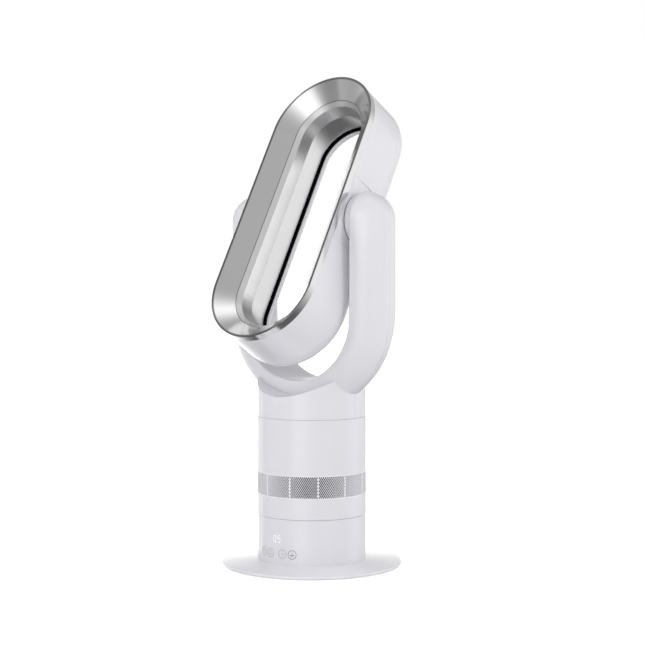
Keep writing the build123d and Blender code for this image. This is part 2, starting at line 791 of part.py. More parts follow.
with BuildPart() as impeller:
    # blades: backward-curved strips, cut to the flow channel between hub and shroud
    with BuildSketch(Plane.XY.offset(impeller_bottom)):
        with BuildSketch(mode=Mode.PRIVATE) as blade:
            with BuildLine():
                camber = ThreePointArc((hub_nose - 2, 0), (27, -8), (outlet_radius, -27))
            trace(camber, blade_thickness)
        with PolarLocations(0, blade_count):
            add(blade.sketch)
    extrude(amount=impeller_height)
    with BuildSketch(Plane.XZ):
        with BuildLine():
            hub_line = ThreePointArc(
                (hub_nose - 1, impeller_bottom), (16, impeller_bottom + 17), (diffuser_hub - 1, impeller_top)
            )
            Line(hub_line @ 1, (outlet_radius, impeller_top))
            Line((outlet_radius, impeller_top), (eye_radius, impeller_bottom))
            Line((eye_radius, impeller_bottom), hub_line @ 0)
        make_face()
    revolve(mode=Mode.INTERSECT)
    # hub: hollow cone with a bore for the shaft
    with BuildSketch(Plane.XZ):
        with BuildLine():
            nose = Line((shaft_radius, impeller_bottom), (hub_nose, impeller_bottom))
            cone = ThreePointArc(nose @ 1, (17, impeller_bottom + 17), (diffuser_hub, impeller_top))
            Polyline(
                cone @ 1,
                (diffuser_hub - 3, impeller_top),
                (16.5, impeller_top - 10),
                (hub_nose, impeller_top - 10),
                (hub_nose, impeller_top - 2),
                (shaft_radius, impeller_top - 2),
                nose @ 0,
            )
        make_face()
    revolve()
impeller.part.label = "impeller"
export_step(impeller.part, "parts/impeller.step")

with BuildPart() as impeller_nut:
    with BuildSketch(Plane.XY.offset(impeller_bottom)):
        RegularPolygon(7.0, 6)
        Circle(shaft_radius, mode=Mode.SUBTRACT)
    extrude(amount=-4.0)
impeller_nut.part.label = "impeller_nut"
export_step(impeller_nut.part, "parts/impeller_nut.step")

diffuser_bottom = shroud_top
diffuser_top = diffuser_bottom + diffuser_height
with BuildPart() as diffuser:
    # vanes between the motor bucket and the outer ring
    for vane in range(vane_count):
        with BuildSketch(around(vane * 360 / vane_count, diffuser_hub - 0.8)):
            with BuildLine():
                camber = Spline((-7, diffuser_bottom + 2), (-1, diffuser_bottom + 8), (0, diffuser_top - 2))
            trace(camber, 1.4)
        extrude(amount=outlet - diffuser_hub + 1.6)
    with BuildSketch(Plane.XY.offset(diffuser_bottom)):
        Circle(outlet + shroud_wall)
        Circle(outlet, mode=Mode.SUBTRACT)
    extrude(amount=diffuser_height)
    with BuildSketch(Plane.XY.offset(diffuser_bottom)):
        Circle(diffuser_hub)
    extrude(amount=diffuser_height)
    with BuildSketch(Plane.XY.offset(diffuser_bottom + shroud_wall)):
        Circle(diffuser_hub - shroud_wall)
    extrude(amount=diffuser_height, mode=Mode.SUBTRACT)
    with BuildSketch(Plane.XY.offset(diffuser_bottom)):
        Circle(shaft_radius + 2)
    extrude(amount=shroud_wall, mode=Mode.SUBTRACT)
diffuser.part.label = "diffuser"
export_step(diffuser.part, "parts/diffuser.step")

fan_motor_radius = diffuser_hub - 8.0
fan_motor_height = 19.0
with BuildPart() as fan_motor:
    with BuildSketch(Plane.XY.offset(diffuser_bottom + shroud_wall)):
        Circle(fan_motor_radius)
    extrude(amount=fan_motor_height)
    fillet(fan_motor.edges().group_by(Axis.Z)[-1], 2.0)
    with BuildSketch(Plane.XY.offset(diffuser_bottom + shroud_wall)):
        Circle(shaft_radius + running_fit)
    extrude(amount=fan_motor_height, mode=Mode.SUBTRACT)
fan_motor.part.label = "fan_motor"
export_step(fan_motor.part, "parts/fan_motor.step")

with BuildPart() as motor_shaft:
    with BuildSketch(Plane.XY.offset(impeller_bottom - 5.0)):
        Circle(shaft_radius)
    extrude(amount=diffuser_bottom + shroud_wall + fan_motor_height + 6.0 - impeller_bottom)
motor_shaft.part.label = "motor_shaft"
export_step(motor_shaft.part, "parts/motor_shaft.step")

cap_height = 13.0
with BuildPart() as motor_cap:
    with BuildSketch(Plane.XZ):
        with BuildLine():
            Polyline(
                (0, diffuser_top + cap_height),
                (diffuser_hub * 0.5, diffuser_top + cap_height * 0.8),
                (diffuser_hub * 0.85, diffuser_top + cap_height * 0.4),
                (diffuser_hub, diffuser_top),
                (diffuser_hub - shroud_wall, diffuser_top),
                (diffuser_hub * 0.8, diffuser_top + cap_height * 0.3),
                (diffuser_hub * 0.45, diffuser_top + cap_height * 0.65),
                (0, diffuser_top + cap_height - shroud_wall),
                close=True,
            )
        make_face()
    revolve()
motor_cap.part.label = "motor_cap"
export_step(motor_cap.part, "parts/motor_cap.step")

with BuildPart() as damper_ring:
    with BuildSketch(Plane.XY.offset(diffuser_bottom + 6.0)):
        Circle(body_inner)
        Circle(outlet + shroud_wall, mode=Mode.SUBTRACT)
    extrude(amount=6.0)
damper_ring.part.label = "damper_ring"
export_step(damper_ring.part, "parts/damper_ring.step")

# ---------------------------------------------------------------- collar and yoke
ring_reach = 6.0
with BuildPart() as collar_ring:
    with BuildSketch(Plane.XY.offset(body_top - ring_reach)):
        Circle(body_inner)
        Circle(collar_inner - shell_wall, mode=Mode.SUBTRACT)
    extrude(amount=ring_reach)
    with BuildSketch(Plane.XY.offset(body_top)):
        Circle(collar_inner)
        Circle(collar_inner - shell_wall, mode=Mode.SUBTRACT)
    extrude(amount=seam + ring_reach)
collar_ring.part.label = "collar_ring"
export_step(collar_ring.part, "parts/collar_ring.step")

screw_seat = 4.0  # how far the screw heads lie behind the parting plane
collar_tower_x = collar_radius * 0.77
arm_tower_x = yoke_inner_radius + 17.0
tower_spots = [
    (collar_tower_x, bend_z - sqrt((yoke_inner_radius + 26.0) ** 2 - collar_tower_x**2)),
    (arm_tower_x, bend_z + 12.0),
    (arm_tower_x, pivot_z + 16.5),
]
tower_spots += [(-x, z) for x, z in tower_spots]
yoke_outside = yoke_body(0.0)
with BuildPart() as yoke:
    add(yoke_outside)
    add(yoke_body(yoke_wall), mode=Mode.SUBTRACT)
    with BuildPart(mode=Mode.PRIVATE) as towers:
        with BuildSketch(Plane.XZ):
            with Locations(tower_spots):
                Circle(tower_radius)
        extrude(amount=collar_radius, both=True)
        add(yoke_outside, mode=Mode.INTERSECT)
    add(towers.part)
    with BuildSketch(Plane.XZ.offset(-screw_seat)):
        with Locations(tower_spots):
            Circle(screw_head_radius + play)
    extrude(amount=-body_radius, mode=Mode.SUBTRACT)
    with BuildSketch(Plane.XZ.offset(-screw_seat)):
        with Locations(tower_spots):
            Circle(screw_radius)
    extrude(amount=15.0, mode=Mode.SUBTRACT)
    with BuildSketch(Plane.YZ):
        with Locations((0, pivot_z)):
            Circle(boss_spigot_radius)
    extrude(amount=yoke_inner_radius + yoke_wall + 1.0, both=True, mode=Mode.SUBTRACT)
    # fine groove along the parting line of the two shells
    with BuildPart(mode=Mode.PRIVATE) as parting_groove:
        with BuildSketch(Plane.XY.offset(collar_bottom)):
            Rectangle(4 * yoke_inner_radius, parting_width)
        extrude(amount=2 * bend_drop + yoke_inner_radius)
        add(yoke_outside, mode=Mode.INTERSECT)
        add(yoke_body(parting_depth), mode=Mode.SUBTRACT)
    add(parting_groove.part, mode=Mode.SUBTRACT)

for name, half in (("yoke_front_shell", Keep.TOP), ("yoke_rear_shell", Keep.BOTTOM)):
    with BuildPart() as yoke_shell:
        add(yoke.part)
        split(bisect_by=Plane.XZ, keep=half)
    yoke_shell.part.label = name
    export_step(yoke_shell.part, f"parts/{name}.step")

with BuildPart() as yoke_screws:
    for x, z in tower_spots:
        add(screw(Plane((x, screw_seat, z), z_dir=(0, 1, 0)), 13.0))
yoke_screws.part.label = "yoke_screws"
export_step(yoke_screws.part, "parts/yoke_screws.step")


# ---------------------------------------------------------------- pivot
def outboard(side, x):
    """Plane square to the pivot axis, x from the middle, facing outwards on the left or right."""
    return Plane(origin=(side * x, 0, pivot_z), x_dir=(0, 1, 0), z_dir=(side, 0, 0))


bush_radius = trunnion_radius + running_fit
boss_end = yoke_inner_radius + yoke_wall + 1.2
cheek_back = cheek_face - cheek_wall
flange_thickness = 2.2
for side_name, side in (("left", -1), ("right", 1)):
    with BuildPart() as pivot_boss:
        with BuildSketch(outboard(side, boss_face)):
            Circle(boss_radius)
        extrude(amount=yoke_inner_radius - boss_face)
        boss_rim = pivot_boss.edges().group_by(Axis.X)[0 if side > 0 else -1]
        fillet(boss_rim, (yoke_inner_radius - boss_face) * 0.17)
        with BuildSketch(outboard(side, yoke_inner_radius)):
            Circle(boss_spigot_radius)
        extrude(amount=boss_end - yoke_inner_radius)
        with BuildSketch(outboard(side, boss_face)):
            Circle(bush_radius + bush_wall)
        extrude(amount=boss_end - boss_face, mode=Mode.SUBTRACT)
    pivot_boss.part.label = f"pivot_boss_{side_name}"
    export_step(pivot_boss.part, f"parts/pivot_boss_{side_name}.step")

    with BuildPart() as pivot_bush:
        with BuildSketch(outboard(side, boss_face)):
            Circle(bush_radius + bush_wall)
            Circle(bush_radius, mode=Mode.SUBTRACT)
        extrude(amount=boss_end - boss_face)
    pivot_bush.part.label = f"pivot_bush_{side_name}"
    export_step(pivot_bush.part, f"parts/pivot_bush_{side_name}.step")

    groove = boss_end + rest_gap
    with BuildPart() as trunnion:
        with BuildSketch(outboard(side, cheek_back - flange_thickness)):
            Circle(trunnion_radius)
        extrude(amount=groove + clip_width + 1.5 - cheek_back + flange_thickness)
        with BuildSketch(outboard(side, cheek_back - flange_thickness)):
            Circle(trunnion_radius + 4.0)
        extrude(amount=flange_thickness)
        with BuildSketch(outboard(side, cheek_back - flange_thickness)):
            Circle(trunnion_radius - trunnion_wall)
        extrude(amount=boss_end, mode=Mode.SUBTRACT)
        with BuildSketch(outboard(side, groove)):
            Circle(trunnion_radius)
            Circle(trunnion_radius - 1.0, mode=Mode.SUBTRACT)
        extrude(amount=clip_width, mode=Mode.SUBTRACT)
    trunnion.part.label = f"trunnion_{side_name}"
    export_step(trunnion.part, f"parts/trunnion_{side_name}.step")

    with BuildPart() as trunnion_clip:
        with BuildSketch(outboard(side, groove)):
            Circle(trunnion_radius + 3.0)
            Circle(trunnion_radius - 1.0, mode=Mode.SUBTRACT)
            with Locations((0, -trunnion_radius)):
                Rectangle(7, 12, mode=Mode.SUBTRACT)
        extrude(amount=clip_width)
    trunnion_clip.part.label = f"trunnion_clip_{side_name}"
    export_step(trunnion_clip.part, f"parts/trunnion_clip_{side_name}.step")

    with BuildPart() as pivot_seal:
        with BuildSketch(outboard(side, cheek_face)):
            Circle(boss_radius - 1.0)
            Circle(trunnion_radius, mode=Mode.SUBTRACT)
        extrude(amount=boss_face - cheek_face - rest_gap)
    pivot_seal.part.label = f"pivot_seal_{side_name}"
    export_step(pivot_seal.part, f"parts/pivot_seal_{side_name}.step")

# ---------------------------------------------------------------- air loop
half_straight = loop_straight / 2
tongue_inset = shell_inset + loop_wall + play
tongue_depth = 16.0
pad_end = 75.0
loop_start = section_at(-half_straight, 0)
shell_front = bezel_depth + play
shell_slope = tan(radians(shell_flare))
wall_end = at(shell_inset - (shell_round_start - shell_front) * shell_slope, shell_round_start)
inner_start = at(shell_inset + loop_wall, shell_front)
wall_tangent = (sin(radians(shell_flare)), cos(radians(shell_flare)))
flange_back = flange_depth + liner_wall
liner_boss_radius = 3.4
liner_boss_height = 13.0
side_x = loop_radius - liner_screw_inset
side_w = 75.0
liner_screw_spots = [(side_w, 0), (-side_w, 0), (side_w, 180), (-side_w, 180), (half_straight, 90)]
liner_screw_spots += [(-half_straight, -90)]

with BuildPart() as head_shell:
    with BuildSketch(loop_start) as shell_face:
        with BuildLine():
            outer_wall = Line(at(shell_inset, shell_front), wall_end)
            outer_back = JernArc(wall_end, wall_tangent, rear_round, rear_turn + shell_flare)
            outer_lip = JernArc(outer_back @ 1, outer_back % 1, rear_lip_round, 180 - rear_turn)
            lip_end = Line(outer_lip @ 1, outer_lip @ 1 + Vector(loop_wall, 0))
            inner_lip = JernArc(lip_end @ 1, (0, 1), rear_lip_round - loop_wall, rear_turn - 180)
            inner_back = JernArc(
                inner_lip @ 1, inner_lip % 1, rear_round - loop_wall, -rear_turn - shell_flare
            )
            Line(inner_back @ 1, inner_start)
            Line(inner_start, outer_wall @ 0)
        make_face()
        fillet(shell_face.vertices().sort_by_distance(lip_end @ 0.5)[:2], loop_wall * 0.48)
    sweep(path=loop_path())
    # flat cheeks at the pivot, thickened inside
    for turn in (0, 180):
        with BuildSketch(section_at(0, turn)):
            with Locations(at(0, 44.0)):
                Rectangle(10, 100, align=(Align.MIN, Align.CENTER))
            with Locations((cheek_face, 0)):
                Rectangle(10, 100, align=(Align.MIN, Align.CENTER))
        extrude(amount=cheek_half_length, both=True, mode=Mode.SUBTRACT)
        with BuildSketch(section_at(0, turn)):
            with Locations((cheek_back, tongue_depth + play - pivot_depth)):
                Rectangle(cheek_wall, pad_end - tongue_depth - play, align=Align.MIN)
        extrude(amount=cheek_half_length + 4.0, both=True)
    with BuildSketch(Plane.YZ):
        with Locations((0, pivot_z)):
            Circle(trunnion_radius)
    extrude(amount=loop_radius + 5, both=True, mode=Mode.SUBTRACT)
    # bosses for the liner's screws
    for along, turn in liner_screw_spots:
        with BuildSketch(section_at(along, turn)):
            with Locations((side_x - liner_boss_radius, flange_back - pivot_depth)):
                Rectangle(
                    loop_radius - shell_inset - loop_wall / 2 - side_x + liner_boss_radius,
                    liner_boss_height,
                    align=Align.MIN,
                )
        extrude(amount=liner_boss_radius, both=True)
        with BuildSketch(Plane(section_at(along, turn) * Plane.XZ).offset(pivot_depth - flange_back)):
            with Locations((side_x, 0)):
                Circle(screw_radius)
        extrude(amount=-liner_boss_height, mode=Mode.SUBTRACT)
head_shell.part.label = "head_shell"
export_step(head_shell.part, "parts/head_shell.step")

cone_slope = (flare_depth - lip_width / 4) / (flare_inset - lip_width)
cone_back = bezel_wall * sqrt(1 + cone_slope**2)
with BuildPart() as front_bezel:
    with BuildSketch(loop_start) as bezel_face:
        with BuildLine():
            Polyline(
                at(0, bezel_depth),
                at(0, 0),
                at(lip_width / 2, 0),
                at(lip_width, lip_width / 4),
                at(flare_inset, flare_depth),
                at(flare_inset - bezel_wall * 0.67, flare_depth + bezel_wall * 0.74),
                at(bezel_wall, lip_width / 4 + (bezel_wall - lip_width) * cone_slope + cone_back),
                at(bezel_wall, bezel_depth),
                close=True,
            )
        make_face()
        fillet(bezel_face.vertices().sort_by_distance(Vector(at(0, 0)))[:1], lip_round)
        with Locations(at(tongue_inset + bezel_wall, 3.5)):
            Rectangle(bezel_wall, tongue_depth - 3.5, align=Align.MIN)
    sweep(path=loop_path())
front_bezel.part.label = "front_bezel"
export_step(front_bezel.part, "parts/front_bezel.step")

liner_points = [
    liner_front,
    liner_throat,
    liner_narrow,
    liner_back,
    (liner_back[0] - liner_wall, liner_back[1] - 0.4),
    (liner_narrow[0] - liner_wall - 0.1, liner_narrow[1]),
    (liner_throat[0] - liner_wall, flange_back + 1.6),
    (liner_throat[0] - liner_wall - 1.0, flange_back),
    (tongue_inset + 0.5, flange_back),
    (tongue_inset + 0.5, flange_depth),
    (liner_front[0] - 2.0, flange_depth),
    (liner_front[0] - 1.1, liner_front[1] + 1.3),
]
with BuildPart() as nozzle_liner:
    with BuildSketch(loop_start):
        with BuildLine():
            Polyline(*[at(*point) for point in liner_points], close=True)
        make_face()
    sweep(path=loop_path())
    for along, turn in liner_screw_spots:
        with BuildSketch(Plane(section_at(along, turn) * Plane.XZ).offset(pivot_depth - flange_depth)):
            with Locations((side_x, 0)):
                Circle(screw_radius)
        extrude(amount=-liner_wall, mode=Mode.SUBTRACT)
    # notches for the trunnions' flanges
    for turn in (0, 180):
        with BuildSketch(section_at(0, turn)):
            with Locations((cheek_back - flange_thickness - play, flange_depth - pivot_depth - 1)):
                Rectangle(cheek_wall + 5, liner_wall + 2, align=Align.MIN)
        extrude(amount=19.0, both=True, mode=Mode.SUBTRACT)
nozzle_liner.part.label = "nozzle_liner"
export_step(nozzle_liner.part, "parts/nozzle_liner.step")

with BuildPart() as liner_screws:
    for along, turn in liner_screw_spots:
        section = section_at(along, turn)
        seat = Plane(
            origin=section.from_local_coords((side_x, flange_depth - pivot_depth, 0)),
            z_dir=-section.y_dir,
        )
        add(screw(seat, liner_wall + liner_boss_height - 3.0))
liner_screws.part.label = "liner_screws"
export_step(liner_screws.part, "parts/liner_screws.step")

guide_wall = 1.2
guide_radius = rear_lip_round - loop_wall - 0.1
lip_centre = outer_lip.arc_center
with BuildPart() as outlet_guide:
    with BuildSketch(loop_start):
        with BuildLine():
            guide_outer = CenterArc(lip_centre, guide_radius, 180, -140)
            guide_inner = CenterArc(lip_centre, guide_radius - guide_wall, 180, -140)
            Line(guide_outer @ 0, guide_inner @ 0)
            Line(guide_outer @ 1, guide_inner @ 1)
        make_face()
    sweep(path=loop_path())
outlet_guide.part.label = "outlet_guide"
export_step(outlet_guide.part, "parts/outlet_guide.step")

liner_end_slope = 0.4 / liner_wall
spacer_points = [
    (liner_back[0] - 1.8, liner_back[1] - 1.8 * liner_end_slope),
    (liner_back[0] - 0.2, liner_back[1] - 0.2 * liner_end_slope),
    (24.6, 75.6),
    (23.6, 79.6),
    (21.4, 82.0),
    (20.4, 79.6),
    (21.0, 74.0),
]
spacer_spots = []
for place in range(spacers_per_side):
    along = (place + 0.5) * loop_straight / spacers_per_side - half_straight
    spacer_spots += [(along, 0), (along, 180)]
for place in range(spacers_per_end):
    turn = (place + 0.5) * 180 / spacers_per_end
    spacer_spots += [(half_straight, turn), (-half_straight, -turn)]
with BuildPart() as slot_spacers:
    for along, turn in spacer_spots:
        with BuildSketch(section_at(along, turn)):
            with BuildLine():
                Polyline(*[at(*point) for point in spacer_points], close=True)
            make_face()
        extrude(amount=spacer_width / 2, both=True)
slot_spacers.part.label = "slot_spacers"
export_step(slot_spacers.part, "parts/slot_spacers.step")
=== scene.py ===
"""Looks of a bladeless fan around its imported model: finishes for every node, the finely perforated
intake band, the printed touch marks, and the studio round it."""

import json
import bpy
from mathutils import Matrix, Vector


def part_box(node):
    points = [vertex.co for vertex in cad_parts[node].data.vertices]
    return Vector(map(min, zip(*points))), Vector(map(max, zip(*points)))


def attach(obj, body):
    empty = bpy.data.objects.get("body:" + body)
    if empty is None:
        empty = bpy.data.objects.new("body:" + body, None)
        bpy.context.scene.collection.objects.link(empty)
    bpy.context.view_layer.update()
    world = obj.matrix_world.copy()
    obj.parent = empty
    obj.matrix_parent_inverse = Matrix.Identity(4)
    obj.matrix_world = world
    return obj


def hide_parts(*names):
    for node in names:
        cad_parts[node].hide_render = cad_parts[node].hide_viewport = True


bl_info = {
    "name": "Bladeless Fan Looks",
    "version": (1, 0, 0),
    "blender": (4, 5, 0),
    "location": "View3D > Sidebar > Fan",
    "description": "Finishes, intake mesh and touch marks of a bladeless fan, with its studio",
    "category": "Object",
}

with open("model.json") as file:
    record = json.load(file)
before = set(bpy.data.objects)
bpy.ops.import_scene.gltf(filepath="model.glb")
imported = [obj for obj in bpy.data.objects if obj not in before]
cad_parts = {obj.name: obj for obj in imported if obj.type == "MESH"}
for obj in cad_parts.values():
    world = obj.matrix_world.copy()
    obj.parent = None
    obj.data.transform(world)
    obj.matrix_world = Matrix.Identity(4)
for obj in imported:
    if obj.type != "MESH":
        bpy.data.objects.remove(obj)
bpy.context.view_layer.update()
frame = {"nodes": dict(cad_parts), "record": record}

import bmesh
import bpy
import numpy as np
from bpy.props import FloatProperty, FloatVectorProperty, IntProperty, PointerProperty
from mathutils import Vector

MM = 0.001

# the loop's own frame: middle on the pivot axis, direction towards its back, pivot's depth behind its front
LOOP_TILT = np.radians(30.0)
LOOP_MIDDLE = np.array((0.0, 0.0, 407.7)) * MM
LOOP_BACKWARDS = (0.0, float(np.cos(LOOP_TILT)), -float(np.sin(LOOP_TILT)))
PIVOT_DEPTH = 44.6 * MM
# depth behind the loop's front at which the painted dark reflection on the rim begins to end, and has ended
PAINTED_RIM_ENDS = (1.0 * MM, 1.3 * MM)

# intake band: plain margins above and below the mesh, how far a hole's sides bulge, points that are one
BAND_MARGIN = 0.35 * MM
HOLE_ROUNDING = 1.18
WELD_DISTANCE = 0.02 * MM

# touch marks: height of their middles, ring radius and stroke width (both in mm), print's height and depth
MARKS_HEIGHT = 20.5 * MM
MARK_RING = 5.1
MARK_STROKE = 0.62
PRINT_PROUD = 0.04 * MM
PRINT_THICKNESS = 0.1 * MM


# ---------------------------------------------------------------- sizes and colours a user would change
class FanFinishes(bpy.types.PropertyGroup):
    """Colours and gloss of the fan's main finishes."""

    shell_colour: FloatVectorProperty(
        name="Shell colour", description="White of the moulded shells", subtype="COLOR",
        size=3, min=0, max=1, default=(0.755, 0.75, 0.792),
    )
    shell_roughness: FloatProperty(
        name="Shell roughness", description="Lower is glossier", subtype="FACTOR",
        min=0, max=1, default=0.15,
    )
    metal_colour: FloatVectorProperty(
        name="Bezel colour", description="Colour of the metal bezel", subtype="COLOR",
        size=3, min=0, max=1, default=(0.91, 0.91, 0.905),
    )
    metal_roughness: FloatProperty(
        name="Bezel roughness", description="Blur of the bezel's reflections", subtype="FACTOR",
        min=0, max=1, default=0.14,
    )
    # darker metal colour of the loop's front rim: a painted dark reflection
    painted_rim_reflection_colour: FloatVectorProperty(
        name="Rim colour", description="Darker metal of the loop's front rim", subtype="COLOR",
        size=3, min=0, max=1, default=(0.38, 0.38, 0.38),
    )
    silver_colour: FloatVectorProperty(
        name="Liner colour", description="Silver of the loop's inner liner", subtype="COLOR",
        size=3, min=0, max=1, default=(0.93, 0.93, 0.925),
    )
    mark_colour: FloatVectorProperty(
        name="Mark colour", description="Grey print of the touch marks", subtype="COLOR",
        size=3, min=0, max=1, default=(0.43, 0.43, 0.44),
    )


class FanIntake(bpy.types.PropertyGroup):
    """The perforated band round the column."""

    panels: IntProperty(
        name="Panels", description="Perforated panels between the band's ribs", min=2, max=40, default=12,
    )
    columns: IntProperty(
        name="Hole columns", description="Columns of holes across one panel", min=2, max=30, default=14,
    )
    rows: IntProperty(
        name="Hole rows", description="Rows of holes up the band", min=2, max=30, default=7,
    )
    rib: FloatProperty(
        name="Rib width", description="Plain strip between two panels", unit="LENGTH",
        min=0.0001, max=0.02, default=0.0006,
    )
    opening: FloatProperty(
        name="Opening", description="Size of a hole in its diamond of the mesh", subtype="FACTOR",
        min=0.1, max=0.9, default=0.74,
    )
    wall: FloatProperty(
        name="Wall", description="Thickness of the band", unit="LENGTH", min=0.0003, max=0.003,
        default=0.0012,
    )


class FanStudio(bpy.types.PropertyGroup):
    """Camera and light."""

    camera_distance: FloatProperty(
        name="Camera distance", description="From the column's axis, along the floor", unit="LENGTH",
        min=0.5, max=5, default=1.8247,
    )
    camera_height: FloatProperty(
        name="Camera height", description="Above the floor", unit="LENGTH", min=0.05, max=3,
        default=0.3549,
    )
    camera_azimuth: FloatProperty(
        name="Camera azimuth", description="Degrees to the right of the front",
        min=-180, max=180, default=38.333,
    )
    camera_lens: FloatProperty(
        name="Lens", description="Focal length for a frame 36 mm wide", unit="CAMERA", min=20, max=300,
        default=85.48,
    )
    lamp_strength: FloatProperty(
        name="Lamp strength", description="Factor on all lamps", min=0, max=4, default=1.0,
    )
    even_light: FloatProperty(
        name="Even light", description="Light that reaches matt surfaces from all sides", min=0, max=2,
        default=0.29,
    )


# ---------------------------------------------------------------- materials
def start_material(name):
    """Empty node material with its Principled shader, and the Object coordinates that patterns read."""
    made = bpy.data.materials.new(name)
    made.use_nodes = True
    nodes = made.node_tree.nodes
    shader = nodes["Principled BSDF"]
    where = nodes.new("ShaderNodeTexCoord")
    return made, made.node_tree, shader, where.outputs["Object"]


def add_noise(tree, where, scale, detail=3.0):
    """Noise on Object coordinates, with its scale per metre."""
    noise = tree.nodes.new("ShaderNodeTexNoise")
    noise.inputs["Scale"].default_value = scale
    noise.inputs["Detail"].default_value = detail
    tree.links.new(where, noise.inputs["Vector"])
    return noise.outputs["Fac"]


def add_ramp(tree, value, low, high, start=0.35, end=0.65):
    """Colour between low and high as the value goes from start to end."""
    ramp = tree.nodes.new("ShaderNodeValToRGB")
    ramp.color_ramp.elements[0].position = start
    ramp.color_ramp.elements[1].position = end
    ramp.color_ramp.elements[0].color = (*low, 1)
    ramp.color_ramp.elements[1].color = (*high, 1)
    tree.links.new(value, ramp.inputs["Fac"])
    return ramp.outputs["Color"]


def add_range(tree, value, low, high, start=0.3, end=0.7):
    """Number between low and high as the value goes from start to end."""
    span = tree.nodes.new("ShaderNodeMapRange")
    span.inputs["From Min"].default_value = start
    span.inputs["From Max"].default_value = end
    span.inputs["To Min"].default_value = low
    span.inputs["To Max"].default_value = high
    tree.links.new(value, span.inputs["Value"])
    return span.outputs["Result"]


def maths(tree, operation, first, second=0.0):
    """Math node on values or sockets; an operation on one value leaves out the second."""
    node = tree.nodes.new("ShaderNodeMath")
    node.operation = operation
    for socket, value in zip(node.inputs, (first, second)):
        if isinstance(value, (int, float)):
            socket.default_value = value
        else:
            tree.links.new(value, socket)
    return node.outputs["Value"]


def add_bump(tree, shader, height, distance):
    """Bump of a real depth in metres."""
    bump = tree.nodes.new("ShaderNodeBump")
    bump.inputs["Strength"].default_value = 1.0
    bump.inputs["Distance"].default_value = distance
    tree.links.new(height, bump.inputs["Height"])
    tree.links.new(bump.outputs["Normal"], shader.inputs["Normal"])


def shade(colour, factor):
    """The colour made lighter or darker by a factor."""
    return tuple(min(1.0, channel * factor) for channel in colour)


def surface(name, colour, roughness, metallic=0.0, grain=900.0, depth=0.000004, spread=0.03,
            rough_spread=0.03, coat=0.0, sheen=0.0):
    """Finish with fine grain, a slight drift of colour and uneven gloss, all from noise.

    Grain is the noise's scale per metre and depth the height of its bump in metres. The spreads are how far
    the colour (as a factor) and the roughness go to either side of what is given.
    """
    made, tree, shader, where = start_material(name)
    drift = add_noise(tree, where, 14.0, 4.0)
    tree.links.new(add_ramp(tree, drift, shade(colour, 1 - spread), shade(colour, 1 + spread)),
                   shader.inputs["Base Color"])
    fine = add_noise(tree, where, grain, 2.0)
    tree.links.new(add_range(tree, fine, max(0.02, roughness - rough_spread), roughness + rough_spread),
                   shader.inputs["Roughness"])
    if depth:
        add_bump(tree, shader, fine, depth)
    shader.inputs["Metallic"].default_value = metallic
    shader.inputs["Coat Weight"].default_value = coat
    shader.inputs["Coat Roughness"].default_value = 0.04
    shader.inputs["Sheen Weight"].default_value = sheen
    return made


def glow(name, colour, strength):
    """Lit plastic with a slight unevenness."""
    made, tree, shader, where = start_material(name)
    drift = add_noise(tree, where, 300.0)
    lit = add_ramp(tree, drift, shade(colour, 0.96), colour)
    tree.links.new(lit, shader.inputs["Base Color"])
    tree.links.new(lit, shader.inputs["Emission Color"])
    shader.inputs["Emission Strength"].default_value = strength
    shader.inputs["Roughness"].default_value = 0.3
    return made


def metal_with_painted_rim(settings):
    """Satin metal with a painted dark reflection on the loop's front rim: a darker colour in the first
    fraction of its depth.
    """
    made = surface("satin metal", tuple(settings.metal_colour), settings.metal_roughness, metallic=1.0,
                   grain=5000, depth=0.0, spread=0.006)
    tree = made.node_tree
    shader = tree.nodes["Principled BSDF"]
    depth = tree.nodes.new("ShaderNodeVectorMath")
    depth.operation = "DOT_PRODUCT"
    depth.inputs[1].default_value = LOOP_BACKWARDS
    tree.links.new(tree.nodes["Texture Coordinate"].outputs["Object"], depth.inputs[0])
    front = float(np.dot(LOOP_MIDDLE, LOOP_BACKWARDS)) - PIVOT_DEPTH
    behind = maths(tree, "SUBTRACT", depth.outputs["Value"], front)
    blend = tree.nodes.new("ShaderNodeMix")
    blend.data_type = "RGBA"
    tree.links.new(add_range(tree, behind, 0.0, 1.0, *PAINTED_RIM_ENDS), blend.inputs["Factor"])
    # painted dark reflection: the rim's darker colour blends into the metal's own colour behind it
    blend.inputs["A"].default_value = (*settings.painted_rim_reflection_colour, 1)
    tree.links.new(shader.inputs["Base Color"].links[0].from_socket, blend.inputs["B"])
    tree.links.new(blend.outputs["Result"], shader.inputs["Base Color"])
    return made


